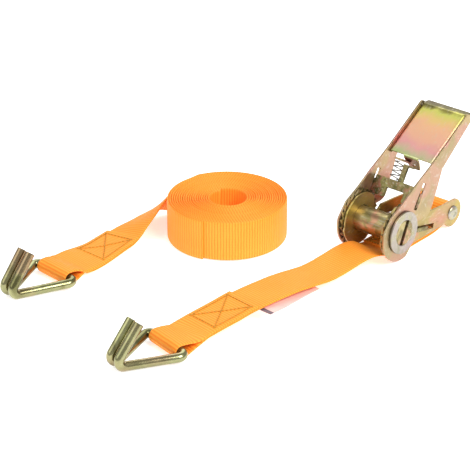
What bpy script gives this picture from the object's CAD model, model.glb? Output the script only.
# %% [markdown]
# # A ratchet tie-down strap in yellow zinc and orange webbing
# The set has two halves: a hand ratchet on a short hooked strap, and a long
# strap rolled up with its own hook. The metal plates, wheels and pawls come
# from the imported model, which also says where everything is. This lesson
# gives them their edges and finishes, and makes again what bends: the
# webbing, the hooks' wire, the springs, the pressed handle and the stitches.

import math

import bmesh
import bpy
import numpy as np
from mathutils import Matrix, Vector
from mathutils.geometry import tessellate_polygon


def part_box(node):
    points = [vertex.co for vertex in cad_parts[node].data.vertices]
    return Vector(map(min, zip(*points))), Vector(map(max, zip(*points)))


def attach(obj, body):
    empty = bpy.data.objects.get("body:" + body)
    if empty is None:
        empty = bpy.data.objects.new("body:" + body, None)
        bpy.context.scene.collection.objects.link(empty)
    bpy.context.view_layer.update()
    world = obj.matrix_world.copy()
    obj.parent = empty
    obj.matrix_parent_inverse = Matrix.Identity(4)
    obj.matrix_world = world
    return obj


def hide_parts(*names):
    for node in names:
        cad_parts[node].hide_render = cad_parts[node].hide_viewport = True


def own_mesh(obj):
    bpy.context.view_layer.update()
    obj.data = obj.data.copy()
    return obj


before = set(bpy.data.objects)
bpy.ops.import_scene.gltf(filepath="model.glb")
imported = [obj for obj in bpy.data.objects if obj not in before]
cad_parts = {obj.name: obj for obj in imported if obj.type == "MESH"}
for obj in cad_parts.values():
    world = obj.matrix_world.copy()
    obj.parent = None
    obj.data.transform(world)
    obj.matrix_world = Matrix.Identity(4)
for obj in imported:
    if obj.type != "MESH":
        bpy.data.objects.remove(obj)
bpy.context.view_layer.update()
MM = 0.001

# %% [markdown]
# ## Where things are
# The end discs turn on the spool's axis, so their boxes give the point that
# the whole ratchet is measured from. The rolled strap's box gives the roll:
# it reaches furthest in +X and in -Y of anything in that piece.

# %% Measure the frame's landmarks
ROLL_R = 37.0
near_lo, near_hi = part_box("end_disc_near")
far_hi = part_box("end_disc_far")[1]
SPOOL = Vector(((near_lo.x + near_hi.x) / 2, (near_lo.y + far_hi.y) / 2,
                (near_lo.z + near_hi.z) / 2))
roll_lo, roll_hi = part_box("long_strap")
ROLL = Vector((roll_hi.x - ROLL_R * MM, roll_lo.y + ROLL_R * MM, 0))
print("spool axis (mm):", [round(c / MM, 2) for c in SPOOL])
print("roll centre (mm):", [round(c / MM, 2) for c in ROLL])


def at(x, y, z):
    """A point in metres: x and y from the spool in millimetres, z from the floor."""
    return Vector((SPOOL.x + x * MM, SPOOL.y + y * MM, z * MM))


def off_spool(x, y, z):
    """A point in metres from millimetres measured from the spool's axis."""
    return at(x, y, SPOOL.z / MM + z)


def on_line(angle, s, h):
    """Millimetres in X and Z from the spool: s along a sloping line, h to its side."""
    a = math.radians(angle)
    return s * math.cos(a) + h * math.sin(a), s * math.sin(a) - h * math.cos(a)


def srgb(r, g, b):
    """A colour picked on a screen, 0 to 255, as the linear colour a shader wants."""
    def lin(c):
        c /= 255
        return c / 12.92 if c <= 0.04045 else ((c + 0.055) / 1.055) ** 2.4
    return (lin(r), lin(g), lin(b), 1.0)


# %% [markdown]
# ## Helpers for shaders
# Effects that several finishes share are node groups: plated film, fine
# scratches and woven webbing. A small builder makes a group with named
# sockets, so each group below reads as a short recipe.

# %% A builder for shared shader groups
def new_group(name, inputs, outputs):
    group = bpy.data.node_groups.new(name, "ShaderNodeTree")
    kinds = {"f": "NodeSocketFloat", "c": "NodeSocketColor", "v": "NodeSocketVector"}
    for label, kind, value in inputs:
        socket = group.interface.new_socket(label, in_out="INPUT", socket_type=kinds[kind])
        if value is not None:
            socket.default_value = value
    for label, kind in outputs:
        group.interface.new_socket(label, in_out="OUTPUT", socket_type=kinds[kind])
    return group, group.nodes.new("NodeGroupInput"), group.nodes.new("NodeGroupOutput")


def wire(tree, node_type, links=(), **values):
    """A node with its properties or unlinked inputs set, and some inputs linked."""
    node = tree.nodes.new(node_type)
    for key, value in values.items():
        if hasattr(node, key):
            setattr(node, key, value)
        else:
            node.inputs[key.replace("_", " ")].default_value = value
    for socket, source in links:
        tree.links.new(source, node.inputs[socket])
    return node


def math_node(tree, operation, a, b=None):
    node = tree.nodes.new("ShaderNodeMath")
    node.operation = operation
    for i, value in enumerate((a, b)):
        if value is None:
            continue
        if isinstance(value, (int, float)):
            node.inputs[i].default_value = value
        else:
            tree.links.new(value, node.inputs[i])
    return node.outputs[0]


def mix_colour(tree, factor, a, b, blend="MIX"):
    node = tree.nodes.new("ShaderNodeMix")
    node.data_type = "RGBA"
    node.blend_type = blend
    for socket, value in ((0, factor), (6, a), (7, b)):
        if isinstance(value, (int, float, tuple)):
            node.inputs[socket].default_value = value
        else:
            tree.links.new(value, node.inputs[socket])
    return node.outputs[2]


# %% [markdown]
# ## Yellow zinc plating
# The steel is zinc plated and passivated. The film is thinner than a
# wavelength of light, so it shows soft patches of pink, straw and green that
# drift over a few millimetres. Three noise fields blend four tones, and a
# fine one mottles the shine. The group puts out only colour and values.

# %% The plated film and its scratches
def plated_film():
    group, g_in, g_out = new_group(
        "Plated film",
        [("Vector", "v", None), ("Patch Scale", "f", 90.0),
         ("Base", "c", srgb(176, 150, 104)), ("Pink", "c", srgb(190, 132, 122)),
         ("Straw", "c", srgb(200, 178, 96)), ("Olive", "c", srgb(140, 132, 84)),
         ("Shine", "f", 0.3)],
        [("Color", "c"), ("Roughness", "f"), ("Height", "f")])
    vec = g_in.outputs["Vector"]
    scale = g_in.outputs["Patch Scale"]
    colour = g_in.outputs["Base"]
    for shift, factor, tone in ((0.0, 1.0, "Pink"), (3.1, 1.35, "Straw"), (7.7, 1.7, "Olive")):
        moved = wire(group, "ShaderNodeVectorMath", [(0, vec)], operation="ADD")
        moved.inputs[1].default_value = (shift, shift * 0.7, shift * 0.3)
        noise = wire(group, "ShaderNodeTexNoise", [("Vector", moved.outputs[0])])
        group.links.new(math_node(group, "MULTIPLY", scale, factor), noise.inputs["Scale"])
        noise.inputs["Detail"].default_value = 3.0
        noise.inputs["Distortion"].default_value = 0.6
        ramp = wire(group, "ShaderNodeMapRange", [("Value", noise.outputs["Fac"])])
        ramp.interpolation_type = "SMOOTHSTEP"
        ramp.inputs["From Min"].default_value = 0.47
        ramp.inputs["From Max"].default_value = 0.62
        colour = mix_colour(group, ramp.outputs[0], colour, g_in.outputs[tone])
    fine = wire(group, "ShaderNodeTexNoise", [("Vector", vec)], Scale=1300.0, Detail=2.0)
    mottle = wire(group, "ShaderNodeMapRange", [("Value", fine.outputs["Fac"])])
    mottle.inputs["To Min"].default_value = 0.86
    mottle.inputs["To Max"].default_value = 1.1
    value = wire(group, "ShaderNodeHueSaturation", [("Color", colour), ("Value", mottle.outputs[0])])
    group.links.new(value.outputs[0], g_out.inputs["Color"])
    smear = wire(group, "ShaderNodeTexNoise", [("Vector", vec)], Scale=240.0, Detail=3.0)
    rough = math_node(group, "MULTIPLY_ADD", smear.outputs["Fac"], 0.22)
    group.links.new(g_in.outputs["Shine"], rough.node.inputs[2])
    group.links.new(rough, g_out.inputs["Roughness"])
    group.links.new(fine.outputs["Fac"], g_out.inputs["Height"])
    return group


def handling_marks():
    group, g_in, g_out = new_group(
        "Handling marks",
        [("Vector", "v", None), ("Stretch", "v", (1.0, 1.0, 1.0)), ("Amount", "f", 0.5)],
        [("Mask", "f"), ("Height", "f")])
    pulled = wire(group, "ShaderNodeVectorMath",
                  [(0, g_in.outputs["Vector"]), (1, g_in.outputs["Stretch"])],
                  operation="MULTIPLY")
    lines = wire(group, "ShaderNodeTexNoise", [("Vector", pulled.outputs[0])],
                 Scale=900.0, Detail=4.0)
    cut = wire(group, "ShaderNodeMapRange", [("Value", lines.outputs["Fac"])])
    cut.inputs["From Min"].default_value = 0.56
    cut.inputs["From Max"].default_value = 0.7
    mask = math_node(group, "MULTIPLY", cut.outputs[0], g_in.outputs["Amount"])
    group.links.new(mask, g_out.inputs["Mask"])
    group.links.new(lines.outputs["Fac"], g_out.inputs["Height"])
    return group


FILM = plated_film()
MARKS = handling_marks()
print("film group nodes:", len(FILM.nodes), "marks group nodes:", len(MARKS.nodes))


# %% [markdown]
# ## One recipe for every plated part
# Each part gets its own material from the same two groups, because sheet,
# bar and wire take the film differently: the frame is straw and pink, the
# pawls olive, the discs grey. Colour, roughness and bump all come from the
# part's Object coordinates, so nothing slides when a joint moves.

# %% Plated metal materials
def start_material(name):
    mat = bpy.data.materials.new(name)
    mat.use_nodes = True
    tree = mat.node_tree
    return mat, tree, tree.nodes["Principled BSDF"]


def use_group(tree, group, links=(), **values):
    node = tree.nodes.new("ShaderNodeGroup")
    node.node_tree = group
    for key, value in values.items():
        node.inputs[key.replace("_", " ")].default_value = value
    for socket, source in links:
        tree.links.new(source, node.inputs[socket])
    return node


def plated(name, base, pink, straw, olive, scale=90.0, shine=0.26, metal=0.9,
           stretch=(1.0, 1.0, 1.0), marks=0.35, bump=0.12):
    mat, tree, shader = start_material(name)
    spot = tree.nodes.new("ShaderNodeTexCoord").outputs["Object"]
    film = use_group(tree, FILM, [("Vector", spot)], Patch_Scale=scale, Base=base,
                     Pink=pink, Straw=straw, Olive=olive, Shine=shine)
    worn = use_group(tree, MARKS, [("Vector", spot)], Stretch=stretch, Amount=marks)
    colour = mix_colour(tree, worn.outputs["Mask"], film.outputs["Color"], srgb(205, 200, 188))
    tree.links.new(colour, shader.inputs["Base Color"])
    rough = math_node(tree, "MULTIPLY_ADD", worn.outputs["Mask"], 0.12)
    tree.links.new(film.outputs["Roughness"], rough.node.inputs[2])
    tree.links.new(rough, shader.inputs["Roughness"])
    height = math_node(tree, "ADD", film.outputs["Height"], worn.outputs["Height"])
    relief = wire(tree, "ShaderNodeBump", [("Height", height)], Strength=bump, Distance=0.0002)
    tree.links.new(relief.outputs["Normal"], shader.inputs["Normal"])
    shader.inputs["Metallic"].default_value = metal
    return mat


PLATE = plated("frame_film", srgb(176, 148, 104), srgb(186, 132, 116), srgb(180, 160, 88),
               srgb(164, 146, 92), scale=34.0, stretch=(0.25, 1.0, 1.0))
CHEEK = plated("handle_film", srgb(178, 142, 118), srgb(186, 132, 122), srgb(172, 152, 108),
               srgb(160, 142, 104), scale=30.0, stretch=(0.4, 1.0, 0.4))
PAWL = plated("pawl_film", srgb(120, 108, 70), srgb(160, 110, 92), srgb(134, 128, 80),
              srgb(92, 88, 52), scale=110.0, shine=0.3)
WHEEL = plated("wheel_film", srgb(150, 130, 88), srgb(160, 112, 84), srgb(164, 150, 92),
               srgb(96, 88, 54), scale=90.0, shine=0.3)
SPOOL_FILM = plated("spool_film", srgb(166, 146, 104), srgb(172, 128, 100), srgb(170, 158, 108),
                    srgb(128, 118, 76), scale=80.0, stretch=(1.0, 0.12, 1.0), shine=0.24)
DISC = plated("disc_film", srgb(166, 158, 148), srgb(176, 152, 154), srgb(164, 160, 128),
              srgb(140, 138, 112), scale=45.0, shine=0.28)
WIRE = plated("hook_film", srgb(146, 146, 104), srgb(150, 130, 98), srgb(168, 168, 120),
              srgb(112, 110, 70), scale=26.0, shine=0.1, marks=0.1, bump=0.04)
RIVET = plated("rivet_film", srgb(176, 172, 160), srgb(186, 156, 146), srgb(184, 180, 140),
               srgb(140, 138, 110), scale=160.0, shine=0.26)
STEEL = plated("spring_steel", srgb(128, 126, 118), srgb(124, 116, 106), srgb(134, 132, 118),
               srgb(104, 104, 98), scale=200.0, shine=0.2, marks=0.2)
print("plated materials:", len(bpy.data.materials))


# %% [markdown]
# ## The grip's rainbow
# The broad, gently rolled grip shows the film best: green at its lower edge,
# then pink, peach, straw and yellow-green towards its end. The tones follow
# the film's thickness along the plate, so one slow coordinate along the grip,
# wobbled by noise, drives a colour ramp.

# %% The grip's film
GRIP_ANGLE = 31.0
GRIP_LOW = (28.5, 33.8)
GRIP_REACH = 46.0


def grip_material():
    mat, tree, shader = start_material("grip_film")
    spot = tree.nodes.new("ShaderNodeTexCoord").outputs["Object"]
    a = math.radians(GRIP_ANGLE)
    low = at(GRIP_LOW[0], 0, 0) + Vector((0, 0, SPOOL.z + GRIP_LOW[1] * MM))
    along = wire(tree, "ShaderNodeVectorMath", [(0, spot)], operation="DOT_PRODUCT")
    along.inputs[1].default_value = (math.cos(a), 0, math.sin(a))
    start = low.x * math.cos(a) + low.z * math.sin(a)
    share = wire(tree, "ShaderNodeMapRange", [("Value", along.outputs["Value"])])
    share.inputs["From Min"].default_value = start
    share.inputs["From Max"].default_value = start + GRIP_REACH * MM
    blot = wire(tree, "ShaderNodeTexNoise", [("Vector", spot)], Scale=62.0, Detail=2.5,
                Distortion=0.8)
    wobble = math_node(tree, "MULTIPLY_ADD", blot.outputs["Fac"], 0.34)
    wobble.node.inputs[2].default_value = -0.17
    place = math_node(tree, "ADD", share.outputs[0], wobble)
    ramp = wire(tree, "ShaderNodeValToRGB", [("Fac", place)])
    tones = [(0.0, srgb(190, 206, 138)), (0.06, srgb(214, 200, 160)),
             (0.16, srgb(246, 178, 172)), (0.34, srgb(254, 194, 162)),
             (0.54, srgb(255, 200, 154)), (0.66, srgb(246, 212, 136)),
             (0.77, srgb(222, 222, 112)), (0.82, srgb(158, 150, 78)),
             (0.86, srgb(104, 98, 54)), (0.97, srgb(92, 78, 48))]
    while len(ramp.color_ramp.elements) < len(tones):
        ramp.color_ramp.elements.new(0.5)
    for element, (position, colour) in zip(ramp.color_ramp.elements, tones):
        element.position = position
        element.color = colour
    worn = use_group(tree, MARKS, [("Vector", spot)], Stretch=(0.35, 1.0, 0.35), Amount=0.22)
    colour = mix_colour(tree, worn.outputs["Mask"], ramp.outputs["Color"], srgb(236, 224, 204))
    tree.links.new(colour, shader.inputs["Base Color"])
    smear = wire(tree, "ShaderNodeTexNoise", [("Vector", spot)], Scale=210.0, Detail=3.0)
    rough = math_node(tree, "MULTIPLY_ADD", smear.outputs["Fac"], 0.14)
    rough.node.inputs[2].default_value = 0.28
    tree.links.new(rough, shader.inputs["Roughness"])
    relief = wire(tree, "ShaderNodeBump", [("Height", worn.outputs["Height"])],
                  Strength=0.08, Distance=0.0002)
    tree.links.new(relief.outputs["Normal"], shader.inputs["Normal"])
    shader.inputs["Metallic"].default_value = 0.82
    return mat


GRIP = grip_material()
print("grip material nodes:", len(GRIP.node_tree.nodes))


# %% [markdown]
# ## Woven webbing
# The webbing is a ribbed polyester weave: rounded ribs about 1.7 mm apart
# run across it, and fine cords run along it. Each strap carries a UV map in
# metres, along and across, so the weave follows every turn of the roll and
# keeps its real size. The grooves between ribs are deeper and redder.

# %% The weave group
def woven_webbing():
    group, g_in, g_out = new_group(
        "Woven webbing",
        [("UV", "v", None), ("Rib Pitch", "f", 0.0017), ("Cord Pitch", "f", 0.00105),
         ("Light", "c", srgb(255, 166, 52)), ("Deep", "c", srgb(236, 104, 4))],
        [("Color", "c"), ("Roughness", "f"), ("Height", "f")])
    parts = wire(group, "ShaderNodeSeparateXYZ", [(0, g_in.outputs["UV"])])
    sway = wire(group, "ShaderNodeTexNoise", [("Vector", g_in.outputs["UV"])],
                Scale=160.0, Detail=2.0)
    drift = math_node(group, "MULTIPLY", sway.outputs["Fac"], 0.0005)
    length = math_node(group, "ADD", parts.outputs["X"], drift)

    def ridge(position, pitch):
        turn = math_node(group, "DIVIDE", position, pitch)
        angle = math_node(group, "MULTIPLY", turn, 2 * math.pi)
        wave = math_node(group, "COSINE", angle)
        half = math_node(group, "MULTIPLY_ADD", wave, 0.5)
        half.node.inputs[2].default_value = 0.5
        return half

    rib = ridge(length, g_in.outputs["Rib Pitch"])
    cord = ridge(parts.outputs["Y"], g_in.outputs["Cord Pitch"])
    round_rib = math_node(group, "POWER", rib, 0.7)
    fibre = wire(group, "ShaderNodeTexNoise", [("Vector", g_in.outputs["UV"])],
                 Scale=5200.0, Detail=2.0)
    cords = math_node(group, "MULTIPLY", cord, 0.16)
    fuzz = math_node(group, "MULTIPLY", fibre.outputs["Fac"], 0.12)
    height = math_node(group, "ADD", round_rib, math_node(group, "ADD", cords, fuzz))
    patches = wire(group, "ShaderNodeTexNoise", [("Vector", g_in.outputs["UV"])],
                   Scale=48.0, Detail=3.0)
    tone = math_node(group, "MULTIPLY_ADD", patches.outputs["Fac"], 0.3)
    tone.node.inputs[2].default_value = -0.12
    level = math_node(group, "MULTIPLY_ADD", height, 0.66)
    group.links.new(tone, level.node.inputs[2])
    colour = mix_colour(group, level, g_in.outputs["Deep"], g_in.outputs["Light"])
    group.links.new(colour, g_out.inputs["Color"])
    rough = math_node(group, "MULTIPLY_ADD", fibre.outputs["Fac"], 0.25)
    rough.node.inputs[2].default_value = 0.5
    group.links.new(rough, g_out.inputs["Roughness"])
    group.links.new(height, g_out.inputs["Height"])
    return group


WEAVE = woven_webbing()


def webbing_material(name, light, deep, bump=0.5):
    mat, tree, shader = start_material(name)
    flat = tree.nodes.new("ShaderNodeUVMap")
    flat.uv_map = "weave"
    cloth = use_group(tree, WEAVE, [("UV", flat.outputs["UV"])], Light=light, Deep=deep)
    tree.links.new(cloth.outputs["Color"], shader.inputs["Base Color"])
    tree.links.new(cloth.outputs["Roughness"], shader.inputs["Roughness"])
    relief = wire(tree, "ShaderNodeBump", [("Height", cloth.outputs["Height"])],
                  Strength=bump, Distance=0.00035)
    tree.links.new(relief.outputs["Normal"], shader.inputs["Normal"])
    shader.inputs["Sheen Weight"].default_value = 0.25
    shader.inputs["Sheen Roughness"].default_value = 0.4
    shader.inputs["Sheen Tint"].default_value = srgb(255, 190, 110)
    shader.inputs["Specular IOR Level"].default_value = 0.35
    return mat


WEBBING = webbing_material("orange_webbing", srgb(255, 174, 58), srgb(252, 122, 12), 0.42)
print("weave group nodes:", len(WEAVE.nodes))


# %% [markdown]
# ## Thread and label
# The seams are sewn in a golden bonded thread. Its twist is a fine diagonal
# wave. The label is a plain pale woven patch with a dark band at one corner
# and no lettering.

# %% Thread and label materials
def thread_material():
    mat, tree, shader = start_material("gold_thread")
    spot = tree.nodes.new("ShaderNodeTexCoord").outputs["Object"]
    twist = wire(tree, "ShaderNodeTexWave", [("Vector", spot)], Scale=900.0,
                 Distortion=1.5, bands_direction="DIAGONAL")
    blot = wire(tree, "ShaderNodeTexNoise", [("Vector", spot)], Scale=300.0)
    shade = math_node(tree, "MULTIPLY", twist.outputs["Fac"], blot.outputs["Fac"])
    colour = mix_colour(tree, shade, srgb(176, 116, 8), srgb(228, 168, 30))
    tree.links.new(colour, shader.inputs["Base Color"])
    relief = wire(tree, "ShaderNodeBump", [("Height", twist.outputs["Fac"])],
                  Strength=0.3, Distance=0.0001)
    tree.links.new(relief.outputs["Normal"], shader.inputs["Normal"])
    rough = math_node(tree, "MULTIPLY_ADD", blot.outputs["Fac"], 0.2)
    rough.node.inputs[2].default_value = 0.45
    tree.links.new(rough, shader.inputs["Roughness"])
    return mat


def label_material():
    mat, tree, shader = start_material("plain_label")
    flat = tree.nodes.new("ShaderNodeUVMap")
    flat.uv_map = "weave"
    parts = wire(tree, "ShaderNodeSeparateXYZ", [(0, flat.outputs["UV"])])
    blot = wire(tree, "ShaderNodeTexNoise", [("Vector", flat.outputs["UV"])], Scale=120.0)
    cloth = mix_colour(tree, blot.outputs["Fac"], srgb(246, 206, 196), srgb(232, 176, 168))
    band = math_node(tree, "LESS_THAN", parts.outputs["X"], 0.003)
    dark = math_node(tree, "MULTIPLY", band, 0.85)
    colour = mix_colour(tree, dark, cloth, srgb(38, 40, 66))
    tree.links.new(colour, shader.inputs["Base Color"])
    cross = wire(tree, "ShaderNodeTexWave", [("Vector", flat.outputs["UV"])], Scale=700.0)
    relief = wire(tree, "ShaderNodeBump", [("Height", cross.outputs["Fac"])],
                  Strength=0.2, Distance=0.0001)
    tree.links.new(relief.outputs["Normal"], shader.inputs["Normal"])
    rough = math_node(tree, "MULTIPLY_ADD", blot.outputs["Fac"], 0.2)
    rough.node.inputs[2].default_value = 0.45
    tree.links.new(rough, shader.inputs["Roughness"])
    return mat


THREAD = thread_material()
LABEL = label_material()
print("materials ready:", len(bpy.data.materials))


# %% [markdown]
# ## Helpers for meshes
# Every finished piece is a plain mesh at the origin. These helpers make an
# object from points and faces, bake its modifiers, and shade it smooth with
# crisp edges where the surface really turns.

# %% Mesh helpers
def new_object(name, verts, faces, material, uvs=None):
    mesh = bpy.data.meshes.new(name)
    mesh.from_pydata([tuple(v) for v in verts], [], faces)
    mesh.materials.append(material)
    if uvs is not None:
        layer = mesh.uv_layers.new(name="weave")
        loops = np.zeros(len(mesh.loops), np.int32)
        mesh.loops.foreach_get("vertex_index", loops)
        layer.data.foreach_set("uv", np.asarray(uvs, np.float32)[loops].ravel())
    obj = bpy.data.objects.new(name, mesh)
    bpy.context.scene.collection.objects.link(obj)
    return obj


def tidy_faces(obj, weld=1e-6):
    bm = bmesh.new()
    bm.from_mesh(obj.data)
    bmesh.ops.remove_doubles(bm, verts=bm.verts, dist=weld)
    bmesh.ops.recalc_face_normals(bm, faces=bm.faces)
    bm.to_mesh(obj.data)
    bm.free()


def bake(obj, sharp=35.0, even=False):
    """Turns the object's modifiers into a plain mesh, shaded smooth up to an angle.

    Even shading keeps large flat faces flat beside their small bevels.
    """
    if even:
        obj.data.shade_smooth()
        mod = obj.modifiers.new("even shading", "WEIGHTED_NORMAL")
        mod.weight = 100
    depsgraph = bpy.context.evaluated_depsgraph_get()
    mesh = bpy.data.meshes.new_from_object(obj.evaluated_get(depsgraph))
    old = obj.data
    obj.modifiers.clear()
    obj.data = mesh
    bpy.data.meshes.remove(old)
    mesh.name = obj.name
    if not even:
        mesh.shade_smooth()
        mesh.set_sharp_from_angle(angle=math.radians(sharp))
    return obj


def bevel(obj, width, segments=2, angle=38.0):
    mod = obj.modifiers.new("edge", "BEVEL")
    mod.width = width * MM
    mod.segments = segments
    mod.limit_method = "ANGLE"
    mod.angle_limit = math.radians(angle)
    mod.use_clamp_overlap = False
    return obj


def settle(obj, body, slot, *nodes):
    """The piece rides on its body, takes its slot and stands for its CAD nodes."""
    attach(obj, body)
    if nodes:
        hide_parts(*nodes)
    print(f"{obj.name}: {len(obj.data.polygons)} faces")
    return obj


# %% [markdown]
# ## Softened edges on the stamped parts
# Stamped and machined steel never has knife edges. Each metal node of the
# model is copied, its flat triangles are joined into whole faces, and a small
# bevel breaks every edge. That thin rounded line is what catches the light.

# %% Break the edges of plates, wheels, pawls and spool
def softened(node, body, slot, material, width):
    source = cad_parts[node]
    mesh = source.data.copy()
    bm = bmesh.new()
    bm.from_mesh(mesh)
    bmesh.ops.remove_doubles(bm, verts=bm.verts, dist=2e-6)
    bmesh.ops.dissolve_limit(bm, angle_limit=math.radians(0.5), verts=bm.verts,
                             edges=bm.edges, delimit=set())
    bm.to_mesh(mesh)
    bm.free()
    mesh.materials.clear()
    mesh.materials.append(material)
    obj = bpy.data.objects.new(node + "_edged", mesh)
    bpy.context.scene.collection.objects.link(obj)
    bevel(obj, width)
    bake(obj, even=True)
    return settle(obj, body, slot, node)


for node, body, slot, material, width in (
        ("frame_plate_near", "frame", "frame_zinc", PLATE, 0.2),
        ("frame_plate_far", "frame", "frame_zinc", PLATE, 0.2),
        ("lock_spring_bar", "frame", "frame_zinc", PLATE, 0.15),
        ("bolt_sleeve", "frame", "bolt_steel", RIVET, 0.2),
        ("lock_pawl", "lock_pawl_body", "pawl_zinc", PAWL, 0.2),
        ("drive_pawl", "drive_pawl_body", "pawl_zinc", PAWL, 0.2),
        ("ratchet_wheel_near", "spool", "wheel_zinc", WHEEL, 0.14),
        ("ratchet_wheel_far", "spool", "wheel_zinc", WHEEL, 0.14),
        ("end_disc_near", "spool", "disc_zinc", DISC, 0.3),
        ("end_disc_far", "spool", "disc_zinc", DISC, 0.3),
        ("spool_half_upper", "spool", "spool_zinc", SPOOL_FILM, 0.35),
        ("spool_half_lower", "spool", "spool_zinc", SPOOL_FILM, 0.35)):
    softened(node, body, slot, material, width)


# %% [markdown]
# ## The riveted bolt
# The bolt that carries the short strap is set over at both ends. A turned
# profile gives each head its low dome and the dimple that the rivet set
# leaves. Revolving a profile is how such a part is made on a lathe too.

# %% Turn the bolt
BOLT = (56.0, 9.2)


def turned(name, profile, material, sides=40):
    """Revolves (distance along Y, radius) pairs round the bolt's axis."""
    verts, faces = [], []
    for y, r in profile:
        for k in range(sides):
            a = 2 * math.pi * k / sides
            verts.append(at(BOLT[0] + r * math.cos(a), y, BOLT[1] + r * math.sin(a)))
    for i in range(len(profile) - 1):
        for k in range(sides):
            a, b = i * sides + k, i * sides + (k + 1) % sides
            faces.append((a, b, b + sides, a + sides))
    faces.append(tuple(range(sides)))
    faces.append(tuple(range((len(profile) - 1) * sides, len(profile) * sides)))
    obj = new_object(name, verts, faces, material)
    tidy_faces(obj)
    return bake(obj)


head = [(14.1, 4.5), (14.35, 4.6), (14.75, 4.45), (15.2, 3.9), (15.5, 3.1),
        (15.6, 2.5), (15.5, 2.1), (15.2, 1.5), (15.12, 0.7)]
bolt_profile = [(-y, r) for y, r in reversed(head)] + [(-14.1, 3.0), (14.1, 3.0)] + head
settle(turned("riveted_bolt", bolt_profile, RIVET), "frame", "bolt_steel", "frame_bolt")


# %% [markdown]
# ## The pressed handle
# The handle is one piece of sheet, folded into a channel: two cheeks joined
# by the grip. It could be cut from a solid, but its wall would not be even.
# So the middle surface of the sheet is drawn first, flat cheeks and a grip
# whose shoulders curve down to meet them, and Solidify gives it its 1.2 mm.

# %% Flat outlines with holes
SHEET = 1.2
CHEEK_Y = 16.65
DRIVE_ANGLE, DRIVE_SIDE = 58, 5.24
GRIP_DIR = (math.cos(math.radians(GRIP_ANGLE)), math.sin(math.radians(GRIP_ANGLE)))
GRIP_DOWN = (GRIP_DIR[1], -GRIP_DIR[0])


def grip_point(s, depth):
    """s along the grip from its lower edge and depth below its outer face, in X and Z."""
    return (GRIP_LOW[0] + s * GRIP_DIR[0] + depth * GRIP_DOWN[0],
            GRIP_LOW[1] + s * GRIP_DIR[1] + depth * GRIP_DOWN[1])


def ring(r, count, centre=(0, 0)):
    return [(centre[0] + r * math.cos(2 * math.pi * k / count),
             centre[1] + r * math.sin(2 * math.pi * k / count)) for k in range(count)]


def lobe(r, a0, a1, n):
    return [(r * math.cos(math.radians(a0 + (a1 - a0) * k / n)),
             r * math.sin(math.radians(a0 + (a1 - a0) * k / n))) for k in range(n + 1)]


def rounded_corners(points, radius, n=4):
    """Rounds each corner of a closed outline by up to radius."""
    out = []
    for i, p in enumerate(points):
        a, b, c = (Vector(points[i - 1]), Vector(p), Vector(points[(i + 1) % len(points)]))
        u, v = a - b, c - b
        turn = math.pi - u.angle(v)
        reach = min(radius * math.tan(turn / 2), 0.45 * u.length, 0.45 * v.length)
        if turn < math.radians(9):
            out.append(tuple(b))
            continue
        p0, p1 = b + u.normalized() * reach, b + v.normalized() * reach
        for k in range(n + 1):
            t = k / n
            out.append(tuple((1 - t) ** 2 * p0 + 2 * t * (1 - t) * b + t * t * p1))
    return out


def flat_piece(outline, holes, place):
    """Triangles that fill a flat outline with holes; place turns (x, z) into a point."""
    rings = [outline] + holes
    flat = [p for r in rings for p in r]
    tris = tessellate_polygon([[Vector((p[0], p[1], 0)) for p in r] for r in rings])
    return [place(*p) for p in flat], [tuple(t) for t in tris]


# %% Draw one cheek's middle surface
def handle_cheek(side):
    """A cheek with its round hole for the spool and the drive pawl's long slot."""
    low, high = DRIVE_SIDE - 1.6, DRIVE_SIDE + 1.6
    body = ([(28.3, 33.7), (12.3, 25.6), (0, 18.3), (-10.5, 13.4)] + lobe(18.2, 163, 285, 28)
            + [(8.6, -13.6), (11.2, -10), (12.6, -6), (13, -1), (13.2, 1.2), (24, 1.4),
               (26.8, 2.4), (28.9, 5), (34.4, 16.5), (38.6, 27), (66.6, 48.6), (66.6, 51.4),
               (64.9, 53.2), (62.4, 54)])
    body = rounded_corners(body, 1.6)
    slot = [on_line(DRIVE_ANGLE, 14.8, low), on_line(DRIVE_ANGLE, 31.4, low),
            on_line(DRIVE_ANGLE, 31.4, high), on_line(DRIVE_ANGLE, 14.8, high)]
    return flat_piece(body, [ring(7.9, 40), rounded_corners(slot, 0.5, 2)],
                      lambda x, z: off_spool(x, side * CHEEK_Y, z))


# %% Form the grip
def grip_shell():
    """The grip, the shoulders that meet the cheeks, and its flat end, as one grid."""
    shoulder = [(15.6, 4.0), (15.35, 3.4), (15.0, 2.8), (14.5, 2.3), (13.9, 1.95), (13.2, 1.8)]
    across = shoulder + [(y, 1.8) for y in (9.0, 5.2, 0.0, -5.2, -9.0)]
    across += [(-y, d) for y, d in reversed(shoulder)]
    along = [(s, 0.0, 0.0) for s in (1.0, 8.0, 16.0, 24.0, 31.0, 36.0, 38.4)]
    x, d = 38.4, 0.0
    for k in range(1, 7):
        a = math.radians(33.6 * k / 6)
        x, d = x + 0.4 * math.cos(a), d + 0.4 * math.sin(a)
        along.append((x, d, a))
    for step in (1.6, 1.6, 1.3, 0.5):
        x, d = x + step * math.cos(a), d + step * math.sin(a)
        along.append((x, d, a))
    verts, faces = [], []
    for i, (s, drop, lean) in enumerate(along):
        flat = min(1.0, max(0.0, (i - 6) / 5))
        narrow = 0.985 if i == len(along) - 1 else 1.0
        for y, depth in across:
            y, depth = y * narrow, depth + (1.8 - depth) * flat
            px, pz = grip_point(s - depth * math.sin(lean), drop + depth * math.cos(lean))
            verts.append(off_spool(px, y, pz))
    n = len(across)
    for i in range(len(along) - 1):
        for k in range(n - 1):
            faces.append((i * n + k, i * n + k + 1, (i + 1) * n + k + 1, (i + 1) * n + k))
    return verts, faces


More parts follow.
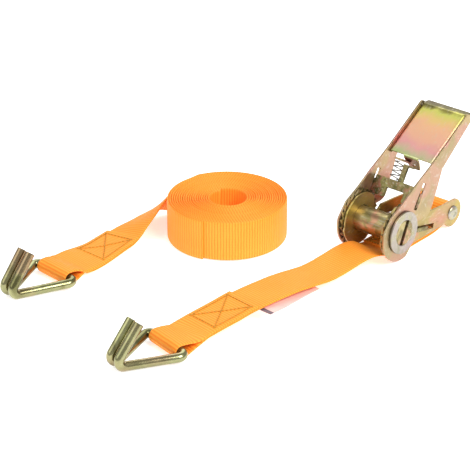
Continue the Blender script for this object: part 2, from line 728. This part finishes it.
# %% Fold the tab, the lip and the spring's seat
def pawl_tab():
    """The tab folded down from the grip's lower edge, with the spring's hole in it."""
    outline = [(-5.2, 2.8), (5.2, 2.8), (5.2, 5), (3.4, 13.0), (-3.4, 13.0), (-5.2, 5)]

    def place(y, depth):
        x, z = grip_point(0.6, depth)
        return off_spool(x, y, z)

    return flat_piece(rounded_corners(outline, 1.0), [ring(1.3, 20, (-0.5, 9.0))], place)


def lower_lip():
    """The small fold between the grip's flat and its tab."""
    verts, faces = [], []
    for k in range(6):
        a = math.radians(18 * k)
        s, d = 1.6 - 1.0 * math.sin(a), 2.8 - 1.0 * math.cos(a)
        for y in (-5.2, 5.2):
            px, pz = grip_point(s, d)
            verts.append(off_spool(px, y, pz))
    for k in range(5):
        faces.append((2 * k, 2 * k + 1, 2 * k + 3, 2 * k + 2))
    return verts, faces


def spring_seat():
    """The small plate under the grip that the drive pawl's spring pushes on."""
    corners = [(1.0, 2.4), (7.2, 2.4), (7.2, 12.4), (1.0, 12.4)]

    def place(y, side):
        x, z = on_line(DRIVE_ANGLE, 40.2, side)
        return off_spool(x, y, z)

    return flat_piece(rounded_corners(corners, 0.8), [], place)


# %% Join, thicken and break the edges
def joined(name, parts, material):
    verts, faces = [], []
    for part_verts, part_faces in parts:
        base = len(verts)
        verts += part_verts
        faces += [tuple(base + i for i in f) for f in part_faces]
    return new_object(name, verts, faces, material)


def thicken(obj, thickness=SHEET, edge=0.22):
    tidy_faces(obj, 2e-5)
    bm = bmesh.new()
    bm.from_mesh(obj.data)
    bmesh.ops.dissolve_limit(bm, angle_limit=math.radians(0.3), verts=bm.verts, edges=bm.edges)
    bm.to_mesh(obj.data)
    bm.free()
    mod = obj.modifiers.new("wall", "SOLIDIFY")
    mod.thickness = thickness * MM
    mod.offset = 0
    mod.use_even_offset = True
    bevel(obj, edge, 2, 50)
    return bake(obj, even=True)


cheeks = thicken(joined("handle_cheeks", [handle_cheek(1), handle_cheek(-1), pawl_tab(),
                                          spring_seat()], CHEEK))
settle(cheeks, "handle_body", "handle_zinc", "handle")
grip = thicken(joined("handle_grip", [grip_shell(), lower_lip()], GRIP))
settle(grip, "handle_body", "handle_zinc", "handle")


# %% [markdown]
# ## Coil springs
# A spring repeats one turn of wire, so Geometry Nodes make it: a spiral
# curve swept with a round profile. The tree has named inputs for the wire,
# the radius, the turns and the height, and both springs use it. The result
# is baked, then stood on its pawl's line. It flattens when its pawl moves.

# %% The coil tree
def add_input(tree, label, kind, value):
    socket = tree.interface.new_socket(label, in_out="INPUT", socket_type=kind)
    socket.default_value = value
    return socket.identifier


def coil_tree():
    tree = bpy.data.node_groups.new("Coil spring", "GeometryNodeTree")
    ids = {"Radius": add_input(tree, "Radius", "NodeSocketFloat", 0.003),
           "Height": add_input(tree, "Height", "NodeSocketFloat", 0.011),
           "Turns": add_input(tree, "Turns", "NodeSocketFloat", 5.0),
           "Wire Radius": add_input(tree, "Wire Radius", "NodeSocketFloat", 0.00035)}
    tree.interface.new_socket("Geometry", in_out="OUTPUT", socket_type="NodeSocketGeometry")
    g_in, g_out = tree.nodes.new("NodeGroupInput"), tree.nodes.new("NodeGroupOutput")
    spiral = wire(tree, "GeometryNodeCurveSpiral",
                  [("Rotations", g_in.outputs["Turns"]), ("Start Radius", g_in.outputs["Radius"]),
                   ("End Radius", g_in.outputs["Radius"]), ("Height", g_in.outputs["Height"])])
    spiral.inputs["Resolution"].default_value = 28
    section = wire(tree, "GeometryNodeCurvePrimitiveCircle",
                   [("Radius", g_in.outputs["Wire Radius"])])
    section.inputs["Resolution"].default_value = 10
    sweep = wire(tree, "GeometryNodeCurveToMesh",
                 [("Curve", spiral.outputs[0]), ("Profile Curve", section.outputs[0])])
    sweep.inputs["Fill Caps"].default_value = True
    real = wire(tree, "GeometryNodeRealizeInstances", [(0, sweep.outputs[0])])
    paint = wire(tree, "GeometryNodeSetMaterial", [(0, real.outputs[0])])
    paint.inputs["Material"].default_value = STEEL
    tree.links.new(paint.outputs[0], g_out.inputs[0])
    return tree, ids


COIL, COIL_IDS = coil_tree()
print("coil tree nodes:", len(COIL.nodes))


# %% Wind the two springs
def grown(name, tree, ids, values, material, base=None):
    """A plain mesh from a Geometry Nodes tree, with its inputs set by identifier."""
    obj = base or new_object(name, [(0, 0, 0)], [], material)
    mod = obj.modifiers.new("grow", "NODES")
    mod.node_group = tree
    for label, value in values.items():
        mod[ids[label]] = value
    return bake(obj)


COIL_WIRE = 0.36
LOCK_ANGLE, LOCK_SIDE = -13, 2.14


def spring(name, angle, h, y, s0, s1, r, turns, body, node):
    """Stands a coil on a pawl's line; it flattens towards its far end as the pawl slides."""
    obj = grown(name, COIL, COIL_IDS,
                {"Radius": (r - COIL_WIRE) * MM, "Height": (s1 - s0 - 0.7) * MM, "Turns": turns,
                 "Wire Radius": COIL_WIRE * MM}, STEEL)
    x0, z0 = on_line(angle, s0 + 0.35, h)
    a = math.radians(angle)
    line = Vector((math.cos(a), 0, math.sin(a)))
    side = Vector((0, 1, 0))
    turn = Matrix((line.cross(side) * -1, side, line)).transposed().to_4x4()
    obj.data.transform(Matrix.Translation(off_spool(x0, y, z0)) @ turn)
    settle(obj, body, "spring_wire", node)
    x1, z1 = on_line(angle, s1, h)
    tuple(off_spool(x1, y, z1))
    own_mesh(obj)
    return obj


spring("drive_pawl_coil", DRIVE_ANGLE, DRIVE_SIDE, 4.05, 27.7, 39.4, 3.1, 3.9,
       "handle_body", "drive_pawl_spring")
spring("lock_pawl_coil", LOCK_ANGLE, LOCK_SIDE, 0, 30.2, 40.8, 2.8, 4.8,
       "frame", "lock_pawl_spring")


# %% [markdown]
# ## The claw hooks
# Each hook is one length of 5.5 mm wire: a claw, a leg, the bar that the
# webbing wraps, the other leg and the other claw. It could be a curve with a
# round bevel, but ends and corners matter here. So the wire is swept along
# its bent centreline with real corner radii, and its cut ends are chamfered.

# %% Sweep wire along a path
def fillet(points, radii):
    """A polyline with each inner corner replaced by an arc, in millimetres."""
    out = [points[0]]
    for i in range(1, len(points) - 1):
        a, b, c = (Vector(points[i - 1]), Vector(points[i]), Vector(points[i + 1]))
        u, v = (a - b).normalized(), (c - b).normalized()
        turn = math.pi - u.angle(v)
        if radii[i] <= 0 or turn < 1e-3:
            out.append(tuple(b))
            continue
        reach = min(radii[i] * math.tan(turn / 2), 0.49 * (a - b).length, 0.49 * (c - b).length)
        radius = reach / math.tan(turn / 2)
        centre = b + (u + v).normalized() * radius / math.cos(turn / 2)
        start = b + u * reach - centre
        axis = start.cross(b + v * reach - centre).normalized()
        n = max(3, int(math.degrees(turn) / 9))
        for k in range(n + 1):
            out.append(tuple(centre + Matrix.Rotation(turn * k / n, 3, axis) @ start))
    return out + [points[-1]]


def swept_wire(name, path, radius, material, sides=20):
    """A round bar along a path in metres, with chamfered ends."""
    pts = [Vector(p) for p in path]
    first, last = (pts[1] - pts[0]).normalized(), (pts[-1] - pts[-2]).normalized()
    cut = 0.0005
    pts = [pts[0], pts[0] + first * cut] + pts[1:-1] + [pts[-1] - last * cut, pts[-1]]
    sizes = [radius - cut * 0.9, radius] + [radius] * (len(pts) - 4) + [radius, radius - cut * 0.9]
    normal = first.orthogonal().normalized()
    verts, faces = [], []
    for i, p in enumerate(pts):
        t = ((pts[min(i + 1, len(pts) - 1)] - p).normalized()
             + (p - pts[max(i - 1, 0)]).normalized()).normalized()
        normal = (normal - t * normal.dot(t)).normalized()
        other = t.cross(normal)
        for k in range(sides):
            a = 2 * math.pi * k / sides
            verts.append(p + (normal * math.cos(a) + other * math.sin(a)) * sizes[i])
    for i in range(len(pts) - 1):
        for k in range(sides):
            a, b = i * sides + k, i * sides + (k + 1) % sides
            faces.append((a, b, b + sides, a + sides))
    faces.append(tuple(range(sides)))
    faces.append(tuple(range((len(pts) - 1) * sides, len(pts) * sides)))
    obj = new_object(name, verts, faces, material)
    tidy_faces(obj)
    return bake(obj)


# %% Bend the two hooks
STRAP_BEND = 6.1
STRAP_RUN = 158.6
HOOK_TURN = 12.0
LONG_TURN = 5.3
EYE_Z = 4.6
SHORT_EYE = (-10 - STRAP_RUN * math.cos(math.radians(STRAP_BEND)),
             STRAP_RUN * math.sin(math.radians(STRAP_BEND)))
LONG_EYE = (-147.3, 121.8)
LEG, CLAW_R, CLAW_TURN, CLAW_END, BAR = 30.8, 4.0, 132.0, 20.8, 18.0
CLAW_Y = 3.6
HOOK_WIRE_R = 2.75
HOOK_TILT = -3.3


def hook_path():
    """The wire's centreline in millimetres, with its bar on Y and claws towards -X."""
    turn = math.radians(CLAW_TURN)
    bend = [(-LEG - CLAW_R * math.sin(turn * k / 12), CLAW_Y,
             CLAW_R - CLAW_R * math.cos(turn * k / 12)) for k in range(12, -1, -1)]
    tip = (bend[0][0] - CLAW_END * math.cos(turn), CLAW_Y,
           bend[0][2] + CLAW_END * math.sin(turn))
    claw = [tip] + bend
    corners = claw + [(0, BAR, 0), (0, -BAR, 0)] + [(x, -y, z) for x, y, z in reversed(claw)]
    radii = [0.0] * len(corners)
    knee = len(claw) - 1
    for i, r in ((knee, 9.0), (knee + 1, 3.4), (knee + 2, 3.4), (knee + 3, 9.0)):
        radii[i] = r
    return fillet(corners, radii)


def bent_hook(name, eye, degrees):
    """Sets a hook's bar in an eye: tilted down to the floor, then swung with its strap."""
    tilt = Matrix.Rotation(math.radians(HOOK_TILT), 3, "Y")
    swing = Matrix.Rotation(math.radians(-degrees), 3, "Z")
    path = []
    for p in hook_path():
        q = swing @ (tilt @ Vector(p))
        path.append(at(eye[0] + q.x, eye[1] + q.y, EYE_Z + q.z))
    return swept_wire(name, path, HOOK_WIRE_R * MM, WIRE)


settle(bent_hook("short_claw_hook", SHORT_EYE, HOOK_TURN), "short_hook_body", "hook_zinc",
       "short_hook")
settle(bent_hook("long_claw_hook", LONG_EYE, LONG_TURN), "long_hook_body", "hook_zinc",
       "long_hook")


# %% [markdown]
# ## Webbing
# Webbing bends one way only, so a strap is a line with a width direction at
# every point. The section is 25 mm by 1.3 mm with rounded selvedges. Both
# straps are made directly, because a cloth simulation has nothing to add to
# a stiff band, and its remesh would lose the thin edges.

# %% Lay a band along a line
WIDTH = 24.8
THICK = 1.3


def smooth_line(rows, step=1.4):
    """Runs a smooth curve through rows of numbers; the first three are x, y and z in mm."""
    rows = np.array(rows, float)
    ends = np.vstack([2 * rows[0] - rows[1], rows, 2 * rows[-1] - rows[-2]])
    gaps = np.linalg.norm(np.diff(ends[:, :3], axis=0), axis=1) ** 0.5
    knots = np.concatenate([[0], np.cumsum(gaps)])
    out = []
    for i in range(1, len(ends) - 2):
        p0, p1, p2, p3 = ends[i - 1:i + 3]
        t0, t1, t2, t3 = knots[i - 1:i + 3]
        n = max(2, int(math.ceil(np.linalg.norm(p2[:3] - p1[:3]) / step)))
        for k in range(n):
            t = t1 + (t2 - t1) * k / n
            a1 = (t1 - t) / (t1 - t0) * p0 + (t - t0) / (t1 - t0) * p1
            a2 = (t2 - t) / (t2 - t1) * p1 + (t - t1) / (t2 - t1) * p2
            a3 = (t3 - t) / (t3 - t2) * p2 + (t - t2) / (t3 - t2) * p3
            b1 = (t2 - t) / (t2 - t0) * a1 + (t - t0) / (t2 - t0) * a2
            b2 = (t3 - t) / (t3 - t1) * a2 + (t - t1) / (t3 - t1) * a3
            out.append((t2 - t) / (t2 - t1) * b1 + (t - t1) / (t2 - t1) * b2)
    out.append(rows[-1])
    return np.array(out)


def band_frames(points, across):
    """Length so far, width direction and face direction at each point of a band."""
    tangent = np.gradient(points, axis=0)
    tangent /= np.linalg.norm(tangent, axis=1)[:, None]
    across = across - (across * tangent).sum(1)[:, None] * tangent
    across /= np.linalg.norm(across, axis=1)[:, None]
    steps = np.linalg.norm(np.diff(points, axis=0), axis=1)
    return np.concatenate([[0], np.cumsum(steps)]), across, np.cross(across, tangent)


SECTION = (-1.0, -0.985, -0.94, -0.8, -0.4, 0.0, 0.4, 0.8, 0.94, 0.985, 1.0)


def band(name, line, material):
    """A strap mesh from rows of x, y, z and width direction, in millimetres."""
    points, across = line[:, :3], line[:, 3:6]
    length, across, face = band_frames(points, across)
    puff = [math.sqrt(max(0.0, 1 - abs(v) ** 26)) for v in SECTION]
    loop = [(v, p) for v, p in zip(SECTION, puff)]
    loop += [(v, -p) for v, p in reversed(list(zip(SECTION, puff))[1:-1])]
    verts, uvs = [], []
    for i in range(len(points)):
        for v, p in loop:
            q = points[i] + across[i] * v * WIDTH / 2 + face[i] * p * THICK / 2
            verts.append(at(*q))
            uvs.append((length[i] * MM, v * WIDTH / 2 * MM))
    n = len(loop)
    faces = []
    for i in range(len(points) - 1):
        for k in range(n):
            a, b = i * n + k, i * n + (k + 1) % n
            faces.append((a, b, b + n, a + n))
    faces.append(tuple(range(n)))
    faces.append(tuple(range((len(points) - 1) * n, len(points) * n)))
    obj = new_object(name, verts, faces, material, uvs)
    bm = bmesh.new()
    bm.from_mesh(obj.data)
    bmesh.ops.recalc_face_normals(bm, faces=bm.faces)
    bm.to_mesh(obj.data)
    bm.free()
    bake(obj, 50)
    print(f"{name}: {length[-1]:.0f} mm of webbing")
    return obj, (points, across, face, length)


# %% [markdown]
# ## The short strap
# One length of webbing is folded round the sleeve on the frame's bolt, runs
# out flat under the ratchet, lifts over the label, and is folded back round
# the hook's bar. Points are given in order along it, and the line between
# them is smooth.

# %% Route the short strap
Y_AXIS = (0.0, 1.0, 0.0)
SIDE = (math.sin(math.radians(STRAP_BEND)), math.cos(math.radians(STRAP_BEND)), 0.0)
EYE_TURN_R = 3.72
SLEEVE_TURN_R = 5.56


def out_along(t, z):
    """A point t along the straight run, which leaves the ratchet at a slight angle."""
    a = math.radians(STRAP_BEND)
    return (-10 - t * math.cos(a), t * math.sin(a), z)


def from_eye(eye, degrees, d, z):
    """A point of the webbing d in front of a hook's bar, and the bar's direction."""
    a = math.radians(degrees)
    return (eye[0] + d * math.cos(a), eye[1] - d * math.sin(a), z,
            math.sin(a), math.cos(a), 0.0)


def round_bar(eye, degrees):
    """Half a turn of webbing round a hook's bar, from below to above."""
    turns = [math.radians(-90 - 15 * k) for k in range(13)]
    return [from_eye(eye, degrees, EYE_TURN_R * math.cos(a), EYE_Z + EYE_TURN_R * math.sin(a))
            for a in turns]


def short_route():
    """From the layer under the ratchet, round the sleeve, out to the hook and back."""
    rows = [(x, 0, z) + Y_AXIS for x, z in
            ((2, 2.6), (10, 2.58), (20, 2.58), (30, 2.58), (37, 2.62), (41, 2.85), (44, 3.9))]
    for k in range(17):
        a = math.radians(147 - 234 * k / 16)
        rows.append((BOLT[0] + SLEEVE_TURN_R * math.cos(a), 0,
                     BOLT[1] + SLEEVE_TURN_R * math.sin(a)) + Y_AXIS)
    rows += [(x, 0, z) + Y_AXIS for x, z in
             ((51, 3.2), (46, 2.4), (41, 1.55), (36, 1.27), (26, 1.25), (14, 1.25), (4, 1.3),
              (0, 1.75), (-5, 3.5))]
    rows += [out_along(t, z) + SIDE for t, z in
             ((0, 6.2), (8, 7.9), (17, 7.7), (26, 6.6), (35, 5.6), (44, 5.4), (53, 6.4),
              (62, 7.5), (71, 8.3), (80, 8.6), (90, 8.8), (98, 8.7), (107, 8.3), (116, 7.4),
              (125, 6.8), (134, 6.1), (141, 5.3))]
    rows += [from_eye(SHORT_EYE, HOOK_TURN, d, z) for d, z in ((11, 4.0), (7, 2.3), (4, 1.2))]
    rows += round_bar(SHORT_EYE, HOOK_TURN)
    rows += [from_eye(SHORT_EYE, HOOK_TURN, d, z) for d, z in ((5, 7.9), (11, 6.9))]
    rows += [out_along(t, z) + SIDE for t, z in
             ((141, 6.7), (134, 7.45), (125, 8.15), (116, 8.75), (107, 9.65), (101, 10.1))]
    return smooth_line(rows)


short_band, SHORT = band("short_webbing", short_route(), WEBBING)


# %% [markdown]
# ## The long strap
# The long strap is folded in the middle and rolled up from the fold, so two
# layers wind together and leave the roll on the side away from the ratchet.
# The rule is simple: each layer's radius grows by one pitch a turn. Layers
# sit a little high or low from turn to turn, as a hand-rolled strap's do.

# %% Wind the roll
PITCH = 2.7
TURNS = 9
INNER = 10.66
GAP = 1.34
HALF_BAND = 0.66
ROLL_Z = 12.72
LEAVE = math.radians(69)
roll_x, roll_y = (ROLL.x - SPOOL.x) / MM, (ROLL.y - SPOOL.y) / MM


def layer_point(radius, angle, layer):
    """A point of the roll. Its height wanders a little with how far it has been wound."""
    turns = angle / (2 * math.pi)
    wander = 0.16 * math.sin(2.4 * turns + layer) + 0.1 * math.sin(5.3 * turns + 1.7 * layer)
    wobble = 0.05 * math.sin(3 * angle + turns)
    r = radius + wobble
    return (roll_x + r * math.cos(angle), roll_y + r * math.sin(angle), ROLL_Z + wander,
            0.0, 0.0, -1.0)


def long_route():
    """In along one layer to the fold, round it, and out along the other layer."""
    start, leave = LEAVE, LEAVE + 2 * math.pi * TURNS
    # The pitch is trimmed so that the last turn ends at the roll's real radius.
    outer_r = INNER + GAP + PITCH * TURNS
    pitch = PITCH + (ROLL_R - HALF_BAND - outer_r) / TURNS

    def radius(angle):
        return INNER + pitch * (angle - start) / (2 * math.pi)

    rows = []
    angle = leave + math.radians(128)
    while angle > start:
        rows.append(layer_point(radius(min(angle, leave)) + 0.35 * max(0, angle - leave),
                                angle, 0.4))
        angle -= math.radians(6)
    mid, half = INNER + GAP / 2, GAP / 2
    for k in range(1, 6):
        a = math.pi * k / 6
        back = start - (half / INNER) * math.sin(a) * 1.6
        rows.append(layer_point(mid - half * math.cos(a), back, 0.0))
    angle = start
    while angle < leave - math.radians(3):
        rows.append(layer_point(radius(angle) + GAP, angle, 0.0))
        angle += math.radians(6)
    return np.array(rows), radius(leave) + GAP


# %% Run the tail out to its hook
def tilted(x, y, z, degrees, lift):
    """A row of a strap that leans over by some degrees and is raised off its line."""
    a = math.radians(degrees)
    return (x, y - lift * math.sin(a), z + lift * math.cos(a), 0.0, math.cos(a), math.sin(a))


def tail_route():
    half = THICK / 2 + 0.01
    r = ROLL_R - HALF_BAND
    rows = [tilted(roll_x + r * math.cos(LEAVE), roll_y + r * math.sin(LEAVE), ROLL_Z, -90, 0)]
    rows += [tilted(x, y, z, tilt, lift) for x, y, z, tilt, lift in
             ((-37, 120.8, 12.8, -72, 0), (-48, 124.3, 12.6, -52, 0), (-58, 125.8, 10.2, -39, 0),
              (-68, 126.2, 7.3, -28, 0), (-78, 126.1, 5.0, -16, -0.1), (-84, 125.7, 3.7, -9, -0.3),
              (-91, 125.1, 2.85, -4, -half), (-98, 124.5, 2.6, -3, -half),
              (-108, 123.5, 2.4, -1, -half), (-118, 122.7, 2.8, 4, -half),
              (-128, 122.0, 3.8, 8, -half), (-136, 121.7, 4.6, 6, -half))]
    rows += [from_eye(LONG_EYE, LONG_TURN, d, z) for d, z in ((7.5, 2.5), (4, 1.2))]
    rows += round_bar(LONG_EYE, LONG_TURN)
    rows += [from_eye(LONG_EYE, LONG_TURN, d, z) for d, z in ((4, 8.0), (7.5, 6.9))]
    rows += [tilted(x, y, z, tilt, lift) for x, y, z, tilt, lift in
             ((-136, 121.7, 4.6, 6, half), (-128, 122.0, 3.8, 8, half),
              (-118, 122.7, 2.8, 4, half), (-108, 123.5, 2.4, -1, half),
              (-98, 124.5, 2.6, -3, half), (-91, 125.1, 2.9, -4, half),
              (-87, 125.4, 3.3, -6, half + 0.2))]
    return smooth_line(rows)


wound, last_r = long_route()
long_line = np.vstack([smooth_line(wound, 2.6), tail_route()])
long_band, LONG = band("long_webbing", long_line, WEBBING)
print(f"last radius {last_r:.2f} mm")


# %% [markdown]
# ## Stitches
# Each fold is held by a box seam with a cross in it. A seam is one short
# stitch repeated along a line, so Geometry Nodes place them: the line is
# resampled at the stitch pitch and a small rounded bar is set on each point,
# turned along the line. Realize Instances makes them real.

# %% The stitch tree
def stitch_tree():
    tree = bpy.data.node_groups.new("Seam stitches", "GeometryNodeTree")
    tree.interface.new_socket("Geometry", in_out="INPUT", socket_type="NodeSocketGeometry")
    ids = {"Pitch": add_input(tree, "Pitch", "NodeSocketFloat", 0.0022),
           "Stitch Length": add_input(tree, "Stitch Length", "NodeSocketFloat", 0.0019),
           "Thread Radius": add_input(tree, "Thread Radius", "NodeSocketFloat", 0.0003)}
    tree.interface.new_socket("Geometry", in_out="OUTPUT", socket_type="NodeSocketGeometry")
    g_in, g_out = tree.nodes.new("NodeGroupInput"), tree.nodes.new("NodeGroupOutput")
    line = wire(tree, "GeometryNodeMeshToCurve", [("Mesh", g_in.outputs["Geometry"])])
    spaced = wire(tree, "GeometryNodeResampleCurve",
                  [("Curve", line.outputs[0]), ("Length", g_in.outputs["Pitch"])],
                  mode="LENGTH")
    ball = wire(tree, "GeometryNodeMeshUVSphere")
    ball.inputs["Segments"].default_value = 8
    ball.inputs["Rings"].default_value = 6
    ball.inputs["Radius"].default_value = 1.0
    half = math_node(tree, "MULTIPLY", g_in.outputs["Stitch Length"], 0.5)
    size = wire(tree, "ShaderNodeCombineXYZ",
                [("X", half), ("Y", g_in.outputs["Thread Radius"]),
                 ("Z", g_in.outputs["Thread Radius"])])
    tangent = tree.nodes.new("GeometryNodeInputTangent")
    turn = wire(tree, "FunctionNodeAlignRotationToVector", [("Vector", tangent.outputs[0])])
    turn.axis = "X"
    placed = wire(tree, "GeometryNodeInstanceOnPoints",
                  [("Points", spaced.outputs[0]), ("Instance", ball.outputs[0]),
                   ("Rotation", turn.outputs[0]), ("Scale", size.outputs[0])])
    real = wire(tree, "GeometryNodeRealizeInstances", [(0, placed.outputs[0])])
    paint = wire(tree, "GeometryNodeSetMaterial", [(0, real.outputs[0])])
    paint.inputs["Material"].default_value = THREAD
    tree.links.new(paint.outputs[0], g_out.inputs[0])
    return tree, ids


STITCH, STITCH_IDS = stitch_tree()
print("stitch tree nodes:", len(STITCH.nodes))


# %% Follow a strap's face with a seam
def on_band(strap, s, v, side, lift=0.16):
    """A point on a strap's face: s along it and v across it, in millimetres."""
    points, across, face, length = strap
    pick = [np.interp(s, length, points[:, i]) for i in range(3)]
    wide = [np.interp(s, length, across[:, i]) for i in range(3)]
    up = [np.interp(s, length, face[:, i]) for i in range(3)]
    reach = side * (THICK / 2 + lift)
    return at(*[pick[i] + wide[i] * v + up[i] * reach for i in range(3)])


def seam_lines(strap, middle, long, wide, side):
    """The box and its cross as chains of points that follow the strap."""
    a, b = long / 2, wide / 2
    chains = [[(-a, -b), (a, -b), (a, b), (-a, b), (-a, -b)], [(-a, -b), (a, b)],
              [(a, -b), (-a, b)]]
    verts, edges = [], []
    for chain in chains:
        for (s0, v0), (s1, v1) in zip(chain, chain[1:]):
            n = int(math.hypot(s1 - s0, v1 - v0) / 1.1)
            base = len(verts)
            for k in range(n + 1):
                t = k / n
                verts.append(on_band(strap, middle + s0 + (s1 - s0) * t, v0 + (v1 - v0) * t, side))
            edges += [(base + k, base + k + 1) for k in range(n)]
    return verts, edges


def sewn(name, seams, body, node):
    verts, edges = [], []
    for strap, middle, long, wide, side in seams:
        v, e = seam_lines(strap, middle, long, wide, side)
        edges += [(a + len(verts), b + len(verts)) for a, b in e]
        verts += v
    mesh = bpy.data.meshes.new(name)
    mesh.from_pydata([tuple(v) for v in verts], edges, [])
    base = bpy.data.objects.new(name, mesh)
    bpy.context.scene.collection.objects.link(base)
    obj = grown(name, STITCH, STITCH_IDS,
                {"Pitch": 2.2 * MM, "Stitch Length": 2.3 * MM, "Thread Radius": 0.42 * MM},
                THREAD, base)
    return settle(obj, body, "thread", node)


# %% Sew both straps
def length_at(strap, point, last):
    """How far along a strap the given spot is, searching one end of it.

    At the hook's end the search keeps to the upper layer, the last 82 mm.
    """
    points, length = strap[0], strap[3]
    near = np.linalg.norm(points[:, :2] - np.array(point[:2]), axis=1)
    allowed = length > length[-1] - 110 if last else length < 60
    near[~allowed] = 1e9
    if last:
        near[: int(np.argmax(length > length[-1] - 82))] = 1e9
    return float(length[int(np.argmin(near))])


short_fold = length_at(SHORT, out_along(118.5, 0), True)
short_bolt = length_at(SHORT, (16, 0), False)
sewn("short_seams", [(SHORT, short_fold, 28, 19, -1), (SHORT, short_bolt, 26, 19, -1)],
     "short_strap_body", "short_strap_stitching")
long_fold = length_at(LONG, (-104.3, 124), True)
sewn("long_seam", [(LONG, long_fold, 27, 19, -1)], "long_strap_body", "long_strap_stitching")


# %% [markdown]
# ## The label
# A small woven label is caught under the strap's near edge. A cloth run is
# more than a patch this small needs: it is a grid of points that ripples a
# little along its free side, thickened by Solidify. It carries no lettering.

# %% Make the label
LABEL_LONG, LABEL_WIDE = 46, 22


def make_label():
    nu, nv = 22, 12
    tilt, slope = math.radians(6), math.radians(4.1)
    verts, uvs, faces = [], [], []
    centre = Vector(out_along(77.5, 6.2)) - Vector(SIDE) * 4.7
    lean = math.radians(STRAP_BEND - 8)
    along = Vector((-math.cos(lean), math.sin(lean), math.sin(slope)))
    side = Vector((math.sin(lean), math.cos(lean), 0))
    for i in range(nu + 1):
        for j in range(nv + 1):
            u, v = LABEL_LONG * (i / nu - 0.5), LABEL_WIDE * (j / nv - 0.5)
            free = max(0.0, -v / (LABEL_WIDE / 2)) ** 2
            ripple = 0.25 * math.sin(u / 6.5) * free + 0.35 * free * (u / (LABEL_LONG / 2)) ** 2
            q = centre + along * -u + side * v * math.cos(tilt)
            verts.append(at(q.x, q.y, q.z + v * math.sin(tilt) + ripple))
            uvs.append(((u + LABEL_LONG / 2) * MM, (v + LABEL_WIDE / 2) * MM))
    for i in range(nu):
        for j in range(nv):
            a = i * (nv + 1) + j
            faces.append((a, a + 1, a + nv + 2, a + nv + 1))
    obj = new_object("sewn_label", verts, faces, LABEL, uvs)
    mod = obj.modifiers.new("wall", "SOLIDIFY")
    mod.thickness = 0.45 * MM
    mod.offset = 0
    return bake(obj, 50)


label = settle(make_label(), "short_strap_body", "label", "info_label")

# %% [markdown]
# ## Say what the soft pieces are
# Webbing and label are sheets of cloth of a known cut size. The strap's flat
# length is the length of its line, measured above.

settle(short_band, "short_strap_body", "webbing", "short_strap")
settle(long_band, "long_strap_body", "webbing", "long_strap")


# %% [markdown]
# ## Floor, light and camera
# A broad pale floor and a bright, even sky make the plating read as metal. A
# large soft key from the right of the camera models the roll's round side,
# and weaker lights open up the shadows inside the ratchet.

# %% Floor
floor_mat, floor_tree, floor_shader = start_material("pale_floor")
floor_spot = floor_tree.nodes.new("ShaderNodeTexCoord").outputs["Object"]
floor_noise = wire(floor_tree, "ShaderNodeTexNoise", [("Vector", floor_spot)], Scale=6.0)
floor_tone = mix_colour(floor_tree, floor_noise.outputs["Fac"], srgb(246, 246, 246),
                        srgb(250, 250, 250))
floor_tree.links.new(floor_tone, floor_shader.inputs["Base Color"])
floor_shader.inputs["Roughness"].default_value = 0.7
floor_shader.inputs["Emission Color"].default_value = (1.0, 1.0, 1.0, 1.0)
floor_shader.inputs["Emission Strength"].default_value = 0.55
FLOOR_Z = -0.0002
floor = new_object("floor", [(-6, -6, FLOOR_Z), (6, -6, FLOOR_Z), (6, 6, FLOOR_Z), (-6, 6, FLOOR_Z)],
                   [(0, 1, 2, 3)], floor_mat)

# %% Camera
CAMERA_AT = Vector((SPOOL.x - 0.91797, SPOOL.y - 0.66604, 0.585))
CAMERA_DIR = Vector((0.6805, 0.576, -0.4524)).normalized()
cam_data = bpy.data.cameras.new("camera")
cam_data.lens = 164.3
cam_data.sensor_width = 36.0
cam_data.clip_start = 0.05
camera = bpy.data.objects.new("camera", cam_data)
bpy.context.scene.collection.objects.link(camera)
camera.location = CAMERA_AT
camera.rotation_euler = CAMERA_DIR.to_track_quat("-Z", "Y").to_euler()
bpy.context.scene.camera = camera

# %% Light
RIGHT = CAMERA_DIR.cross(Vector((0, 0, 1))).normalized()
AWAY = Vector((CAMERA_DIR.x, CAMERA_DIR.y, 0)).normalized()
UP = Vector((0, 0, 1))


def soft_light(name, offset, size, power, colour=(1, 1, 1)):
    data = bpy.data.lights.new(name, "AREA")
    data.shape = "SQUARE"
    data.size = size
    data.energy = power
    data.color = colour
    lamp = bpy.data.objects.new(name, data)
    bpy.context.scene.collection.objects.link(lamp)
    lamp.location = RIGHT * offset[0] + AWAY * offset[1] + UP * offset[2]
    lamp.rotation_euler = (-lamp.location).to_track_quat("-Z", "Y").to_euler()


soft_light("key", (0.75, -0.75, 1.0), 0.7, 19.0)
soft_light("fill", (-0.9, -0.35, 0.7), 0.9, 4.0)
soft_light("back", (0.1, 1.0, 0.9), 0.9, 6.0)
world = bpy.data.worlds.new("studio")
bpy.context.scene.world = world
world.use_nodes = True
world.node_tree.nodes["Background"].inputs["Color"].default_value = (1, 1, 1, 1)
world.node_tree.nodes["Background"].inputs["Strength"].default_value = 0.5
bpy.context.scene.view_settings.view_transform = "Standard"
